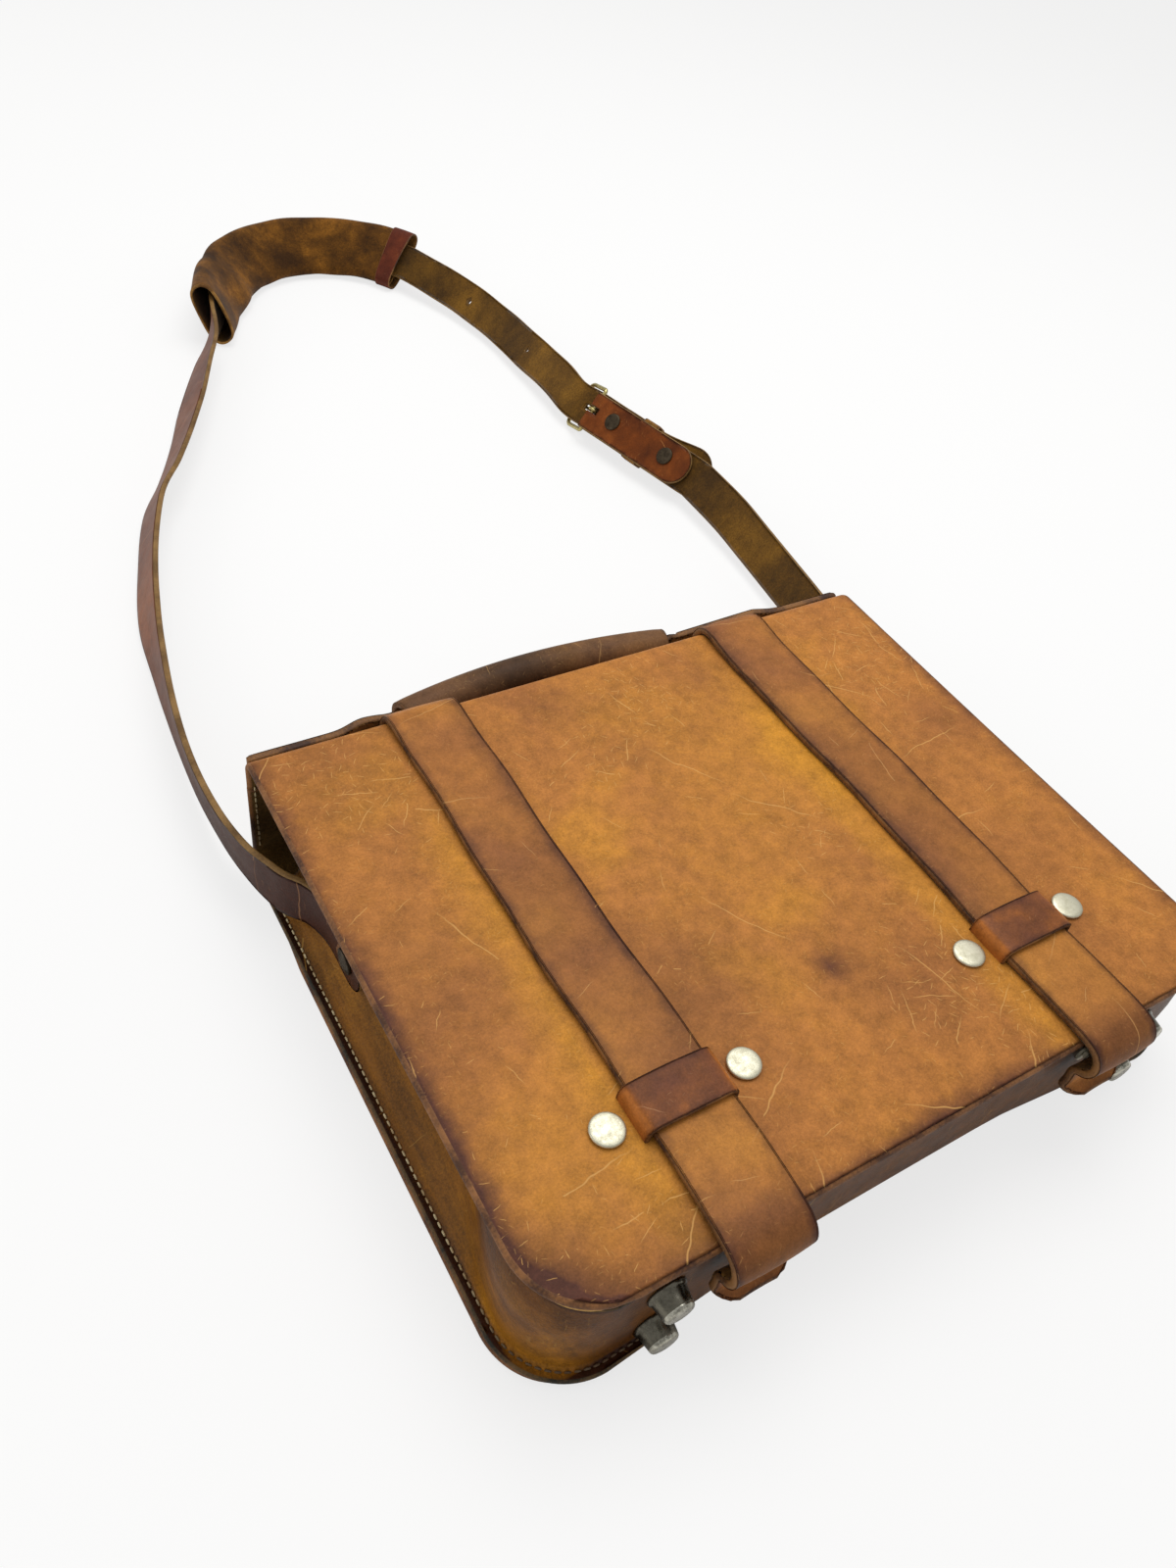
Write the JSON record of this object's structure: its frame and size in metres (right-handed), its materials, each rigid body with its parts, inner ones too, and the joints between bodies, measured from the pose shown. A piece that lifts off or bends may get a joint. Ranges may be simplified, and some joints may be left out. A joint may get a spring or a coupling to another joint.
{
  "type": "satchel bag",
  "caption": "Leather satchel with a full flap, two closing straps with snaps, a rolled handle and a buckled shoulder strap with a pad, lying on its back.",
  "frame": {"origin": "centre of the back panel's outer face, on which the bag lies", "axes": "+X across the bag, +Y towards the handle and along the laid-out shoulder strap, +Z from the back to the flap"},
  "size_m": [0.4436, 0.9689, 0.0768],
  "materials": {
    "cover_leather": "aged vegetable-tanned cover leather, waxed, with scratches and darker edges",
    "strap_leather": "closing strap leather, reddish tan, darker edges",
    "loop_leather": "dark burnished loop leather",
    "gusset_leather": "glossy dark gusset leather",
    "flesh_leather": "flesh side of the leather, fibrous and matte",
    "chape_leather": "smooth chestnut grain leather",
    "keeper_leather": "light orange-tan leather",
    "grip_leather": "dark handled grip leather",
    "nickel": "worn nickel plate",
    "aged_brass": "dark antique brass",
    "pale_brass": "pale worn brass wire",
    "foot_metal": "dull plated steel"
  },
  "bodies": {
    "bag": {"back_panel": "cover_leather", "gusset": "gusset_leather", "gusset_hems": "flesh_leather", "front_panel": "cover_leather", "front_panel_hem": "flesh_leather", "bottom_feet": "foot_metal", "foot_washers": "aged_brass", "snap_studs": "nickel", "snap_stud_washers": "aged_brass", "anchor_rivets": "aged_brass", "anchor_spacers": "chape_leather", "anchor_washers": "aged_brass"},
    "top_wall": {"top_wall": "cover_leather", "strap_top_left": "strap_leather", "strap_top_right": "strap_leather", "handle_end_left": "strap_leather", "handle_end_right": "strap_leather", "handle_rivets": "aged_brass", "handle_rivet_washers": "aged_brass"},
    "flap": {"flap": "cover_leather", "closing_strap_left": "strap_leather", "closing_strap_right": "strap_leather", "keeper_loop_left": "loop_leather", "keeper_loop_right": "loop_leather", "flap_rivets": "nickel", "flap_rivet_washers": "nickel"},
    "tail_left": {"strap_tail_left": "strap_leather", "snap_cap_left": "nickel"},
    "tail_right": {"strap_tail_right": "strap_leather", "snap_cap_right": "nickel"},
    "handle": {"handle_grip": "grip_leather", "handle_core": "flesh_leather", "handle_strap_left": "strap_leather", "handle_strap_right": "strap_leather"},
    "shoulder_strap": {"long_strap": "flesh_leather", "short_strap": "chape_leather", "strap_keeper": "keeper_leather", "strap_rivets": "aged_brass", "strap_rivet_washers": "aged_brass"},
    "pad": {"shoulder_pad": "flesh_leather", "pad_band": "chape_leather"},
    "buckle": {"buckle_frame": "pale_brass"},
    "prong": {"buckle_prong": "pale_brass"}
  },
  "joints": [
    {"name": "top_fold", "type": "hinge", "parent": "bag", "child": "top_wall", "pos_m": [0, 0.149, 0.008], "axis": [-1, 0, 0], "range_deg": [0, 45]},
    {"name": "flap_fold", "type": "hinge", "parent": "top_wall", "child": "flap", "pos_m": [0, 0.141, 0.074], "axis": [-1, 0, 0], "range_deg": [0, 120]},
    {"name": "left_tail_bend", "type": "hinge", "parent": "flap", "child": "tail_left", "pos_m": [-0.096, -0.15, 0.074], "axis": [-1, 0, 0], "range_deg": [0, 80]},
    {"name": "right_tail_bend", "type": "hinge", "parent": "flap", "child": "tail_right", "pos_m": [0.096, -0.15, 0.074], "axis": [-1, 0, 0], "range_deg": [0, 80]},
    {"name": "handle_lift", "type": "slide", "parent": "top_wall", "child": "handle", "axis": [0, 1, 0], "range_m": [0, 0.01]},
    {"name": "shoulder_strap_swing", "type": "hinge", "parent": "bag", "child": "shoulder_strap", "pos_m": [0, 0.048, 0.0305], "axis": [1, 0, 0], "range_deg": [0, 140]},
    {"name": "pad_slide", "type": "hinge", "parent": "shoulder_strap", "child": "pad", "pos_m": [0.083, 0.694, 0.0216], "axis": [0, 0, 1], "range_deg": [-3, 3]},
    {"name": "buckle_pivot", "type": "hinge", "parent": "shoulder_strap", "child": "buckle", "pos_m": [0.196, 0.452, 0.023], "axis": [-0.652, -0.1505, -0.7431], "range_deg": [0, 12]},
    {"name": "prong_pivot", "type": "hinge", "parent": "buckle", "child": "prong", "pos_m": [0.196, 0.452, 0.023], "axis": [-0.652, -0.1505, -0.7431], "range_deg": [0, 30]}
  ]
}
